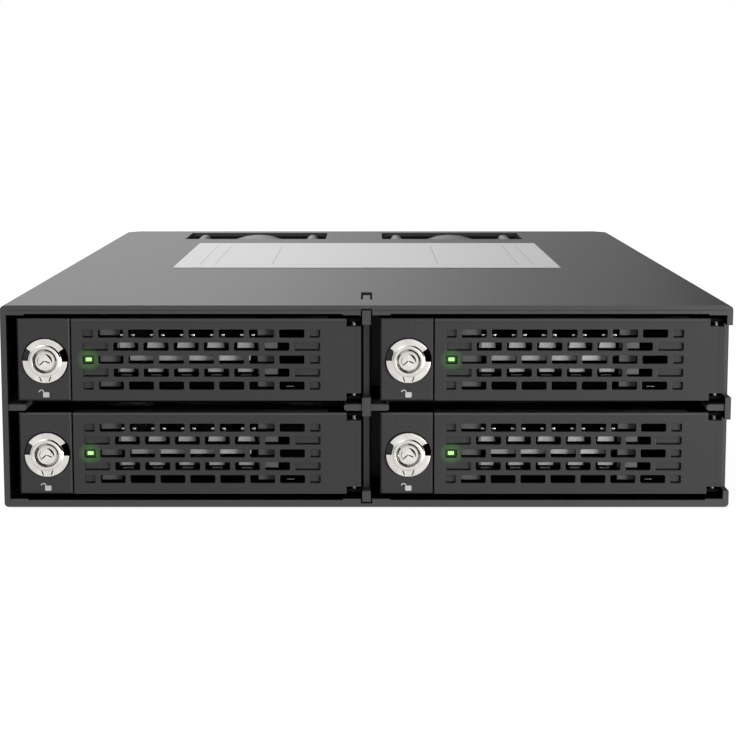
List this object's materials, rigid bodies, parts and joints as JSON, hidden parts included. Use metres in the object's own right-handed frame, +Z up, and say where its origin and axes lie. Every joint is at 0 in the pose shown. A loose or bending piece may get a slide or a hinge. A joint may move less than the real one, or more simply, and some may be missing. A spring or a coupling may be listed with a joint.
{
  "type": "hot swap drive cage",
  "caption": "Low steel cage for a 5.25-inch bay with slide-out trays for 2.5-inch drives, perforated lever handles, key locks, a backplane and rear fans.",
  "frame": {"origin": "centre of the underside: midway across the width and midway between the front plane and the rear edge, on the bottom face", "axes": "+X to the right seen from the front, +Y from the front to the rear, +Z up"},
  "size_m": [0.146, 0.1747, 0.0411],
  "materials": {
    "cage_paint": "fine satin charcoal powder coat",
    "front_paint": "satin near-black powder coat",
    "tray_steel": "black painted sheet",
    "lock_metal": "bright nickel plate",
    "screw_steel": "blackened steel",
    "spring_steel": "spring steel",
    "board_green": "solder mask",
    "socket_plastic": "moulded socket body",
    "fan_plastic": "glass-filled moulding",
    "label_film": "plain paper-white film",
    "pipe_clear": "clear acrylic, lit green",
    "lamp_green": "surface lamp"
  },
  "bodies": {
    "cage": {"outer_shell": "cage_paint", "base_plate": "cage_paint", "center_divider": "front_paint", "mid_shelf": "front_paint", "rear_panel": "cage_paint", "panel_screws": "screw_steel", "blank_label": "label_film", "backplane_board": "board_green", "status_leds": "lamp_green", "link_board": "board_green", "port_board": "board_green", "fan_screws": "screw_steel", "drive_connector_1": "socket_plastic", "drive_connector_2": "socket_plastic", "drive_connector_3": "socket_plastic", "drive_connector_4": "socket_plastic", "power_port_1": "socket_plastic", "power_port_2": "socket_plastic", "data_ports_1": "socket_plastic", "data_ports_2": "socket_plastic", "fan_left_frame": "fan_plastic", "fan_right_frame": "fan_plastic"},
    "tray_1": {"tray_1_frame": "tray_steel", "tray_1_front": "front_paint", "tray_1_hinge_pin": "screw_steel", "tray_1_lock_spring": "spring_steel", "tray_1_light_pipe": "pipe_clear"},
    "handle_1": {"tray_1_handle": "front_paint"},
    "button_1": {"tray_1_lock_button": "lock_metal"},
    "dial_1": {"tray_1_lock_dial": "lock_metal"},
    "latch_1": {"tray_1_lock_latch": "tray_steel"},
    "tray_2": {"tray_2_frame": "tray_steel", "tray_2_front": "front_paint", "tray_2_hinge_pin": "screw_steel", "tray_2_lock_spring": "spring_steel", "tray_2_light_pipe": "pipe_clear"},
    "handle_2": {"tray_2_handle": "front_paint"},
    "button_2": {"tray_2_lock_button": "lock_metal"},
    "dial_2": {"tray_2_lock_dial": "lock_metal"},
    "latch_2": {"tray_2_lock_latch": "tray_steel"},
    "tray_3": {"tray_3_frame": "tray_steel", "tray_3_front": "front_paint", "tray_3_hinge_pin": "screw_steel", "tray_3_lock_spring": "spring_steel", "tray_3_light_pipe": "pipe_clear"},
    "handle_3": {"tray_3_handle": "front_paint"},
    "button_3": {"tray_3_lock_button": "lock_metal"},
    "dial_3": {"tray_3_lock_dial": "lock_metal"},
    "latch_3": {"tray_3_lock_latch": "tray_steel"},
    "tray_4": {"tray_4_frame": "tray_steel", "tray_4_front": "front_paint", "tray_4_hinge_pin": "screw_steel", "tray_4_lock_spring": "spring_steel", "tray_4_light_pipe": "pipe_clear"},
    "handle_4": {"tray_4_handle": "front_paint"},
    "button_4": {"tray_4_lock_button": "lock_metal"},
    "dial_4": {"tray_4_lock_dial": "lock_metal"},
    "latch_4": {"tray_4_lock_latch": "tray_steel"},
    "rotor_left": {"fan_left_rotor": "fan_plastic"},
    "rotor_right": {"fan_right_rotor": "fan_plastic"}
  },
  "joints": [
    {"name": "tray_1_slide", "type": "slide", "parent": "cage", "child": "tray_1", "axis": [0, -1, 0], "range_m": [0, 0.11]},
    {"name": "handle_1_hinge", "type": "hinge", "parent": "tray_1", "child": "handle_1", "pos_m": [-0.0026, -0.0847, 0.03], "axis": [0, 0, 1], "range_deg": [0, 75]},
    {"name": "button_1_press", "type": "slide", "parent": "tray_1", "child": "button_1", "axis": [0, 1, 0], "range_m": [0, 0.0015], "stiffness_N_per_m": 300, "springref_m": -0.002},
    {"name": "dial_1_turn", "type": "hinge", "parent": "button_1", "child": "dial_1", "pos_m": [-0.0642, -0.0866, 0.0298], "axis": [0, 1, 0], "range_deg": [0, 90]},
    {"name": "latch_1_slide", "type": "slide", "parent": "tray_1", "child": "latch_1", "axis": [-1, 0, 0], "range_m": [0, 0.0015]},
    {"name": "tray_2_slide", "type": "slide", "parent": "cage", "child": "tray_2", "axis": [0, -1, 0], "range_m": [0, 0.11]},
    {"name": "handle_2_hinge", "type": "hinge", "parent": "tray_2", "child": "handle_2", "pos_m": [0.07, -0.0847, 0.03], "axis": [0, 0, 1], "range_deg": [0, 75]},
    {"name": "button_2_press", "type": "slide", "parent": "tray_2", "child": "button_2", "axis": [0, 1, 0], "range_m": [0, 0.0015], "stiffness_N_per_m": 300, "springref_m": -0.002},
    {"name": "dial_2_turn", "type": "hinge", "parent": "button_2", "child": "dial_2", "pos_m": [0.0084, -0.0866, 0.0298], "axis": [0, 1, 0], "range_deg": [0, 90]},
    {"name": "latch_2_slide", "type": "slide", "parent": "tray_2", "child": "latch_2", "axis": [-1, 0, 0], "range_m": [0, 0.0015]},
    {"name": "tray_3_slide", "type": "slide", "parent": "cage", "child": "tray_3", "axis": [0, -1, 0], "range_m": [0, 0.11]},
    {"name": "handle_3_hinge", "type": "hinge", "parent": "tray_3", "child": "handle_3", "pos_m": [-0.0026, -0.0847, 0.0109], "axis": [0, 0, 1], "range_deg": [0, 75]},
    {"name": "button_3_press", "type": "slide", "parent": "tray_3", "child": "button_3", "axis": [0, 1, 0], "range_m": [0, 0.0015], "stiffness_N_per_m": 300, "springref_m": -0.002},
    {"name": "dial_3_turn", "type": "hinge", "parent": "button_3", "child": "dial_3", "pos_m": [-0.0642, -0.0866, 0.0107], "axis": [0, 1, 0], "range_deg": [0, 90]},
    {"name": "latch_3_slide", "type": "slide", "parent": "tray_3", "child": "latch_3", "axis": [-1, 0, 0], "range_m": [0, 0.0015]},
    {"name": "tray_4_slide", "type": "slide", "parent": "cage", "child": "tray_4", "axis": [0, -1, 0], "range_m": [0, 0.11]},
    {"name": "handle_4_hinge", "type": "hinge", "parent": "tray_4", "child": "handle_4", "pos_m": [0.07, -0.0847, 0.0109], "axis": [0, 0, 1], "range_deg": [0, 75]},
    {"name": "button_4_press", "type": "slide", "parent": "tray_4", "child": "button_4", "axis": [0, 1, 0], "range_m": [0, 0.0015], "stiffness_N_per_m": 300, "springref_m": -0.002},
    {"name": "dial_4_turn", "type": "hinge", "parent": "button_4", "child": "dial_4", "pos_m": [0.0084, -0.0866, 0.0107], "axis": [0, 1, 0], "range_deg": [0, 90]},
    {"name": "latch_4_slide", "type": "slide", "parent": "tray_4", "child": "latch_4", "axis": [-1, 0, 0], "range_m": [0, 0.0015]},
    {"name": "fan_left_spin", "type": "hinge", "parent": "cage", "child": "rotor_left", "pos_m": [-0.0322, 0.0706, 0.0205], "axis": [0, 1, 0], "continuous": true},
    {"name": "fan_right_spin", "type": "hinge", "parent": "cage", "child": "rotor_right", "pos_m": [0.02469, 0.0706, 0.0205], "axis": [0, 1, 0], "continuous": true}
  ],
  "couplings": [
    {"joint": "latch_1_slide", "follows": "button_1_press", "ratio": 1},
    {"joint": "latch_2_slide", "follows": "button_2_press", "ratio": 1},
    {"joint": "latch_3_slide", "follows": "button_3_press", "ratio": 1},
    {"joint": "latch_4_slide", "follows": "button_4_press", "ratio": 1}
  ]
}
